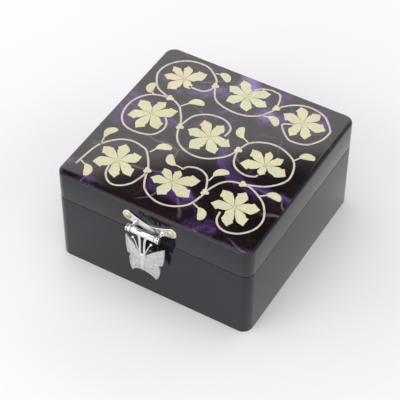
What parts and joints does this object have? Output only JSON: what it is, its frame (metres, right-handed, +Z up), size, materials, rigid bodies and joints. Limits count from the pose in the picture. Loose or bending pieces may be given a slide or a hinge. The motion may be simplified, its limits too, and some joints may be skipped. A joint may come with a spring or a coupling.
{
  "type": "jewellery box",
  "caption": "Square lacquered box with a hinged mirror lid, paper-covered top with shell flower inlay and a butterfly hasp.",
  "frame": {"origin": "centre of the flat underside that the box stands on", "axes": "+Z up, -Y toward the front face that carries the hasp, +X to the right seen from the front"},
  "size_m": [0.12, 0.1334, 0.0629],
  "materials": {
    "lacquer": "black gloss lacquer",
    "paper": "purple and black dyed paper under clear lacquer",
    "shell": "polished mother-of-pearl",
    "velvet": "purple velvet",
    "felt": "black felt",
    "nickel": "polished and satin nickel plate",
    "brass": "polished brass",
    "mirror": "silvered glass"
  },
  "bodies": {
    "base": {"base_front_board": "lacquer", "base_back_board": "lacquer", "base_left_board": "lacquer", "base_right_board": "lacquer", "bottom_panel": "lacquer", "bottom_felt": "felt", "lining_front": "velvet", "lining_back": "velvet", "lining_left": "velvet", "lining_right": "velvet", "floor_pad": "velvet", "divider": "velvet", "ring_roll_1": "velvet", "ring_roll_2": "velvet", "ring_roll_3": "velvet", "ring_roll_4": "velvet", "ring_roll_5": "velvet", "catch_stud": "nickel", "hinge_base_leaf_left": "brass", "hinge_base_leaf_right": "brass", "hinge_pin_left": "brass", "hinge_pin_right": "brass", "hinge_screw_base_1": "brass", "hinge_screw_base_2": "brass", "hinge_screw_base_3": "brass", "hinge_screw_base_4": "brass"},
    "lid": {"lid_front_board": "lacquer", "lid_back_board": "lacquer", "lid_left_board": "lacquer", "lid_right_board": "lacquer", "lid_top_panel": "lacquer", "top_paper": "paper", "inlay_flower_1": "shell", "inlay_flower_2": "shell", "inlay_flower_3": "shell", "inlay_flower_4": "shell", "inlay_flower_5": "shell", "inlay_flower_6": "shell", "inlay_flower_7": "shell", "inlay_flower_8": "shell", "inlay_flower_9": "shell", "inlay_vine_1": "shell", "inlay_vine_2": "shell", "inlay_vine_3": "shell", "lid_lining_panel": "velvet", "mirror": "mirror", "mirror_frame": "lacquer", "hinge_lid_leaf_left": "brass", "hinge_lid_leaf_right": "brass", "hinge_screw_lid_1": "brass", "hinge_screw_lid_2": "brass", "hinge_screw_lid_3": "brass", "hinge_screw_lid_4": "brass", "latch_plate": "nickel", "latch_nail_left": "brass", "latch_nail_right": "brass", "latch_pin": "nickel"},
    "hasp": {"butterfly_hasp": "nickel"}
  },
  "joints": [
    {"name": "lid_hinge", "type": "hinge", "parent": "base", "child": "lid", "pos_m": [0, 0.0619, 0.0444], "axis": [-1, 0, 0], "range_deg": [0, 100]},
    {"name": "hasp_hinge", "type": "hinge", "parent": "lid", "child": "hasp", "pos_m": [0, -0.067, 0.0534], "axis": [-1, 0, 0], "range_deg": [0, 110]}
  ]
}
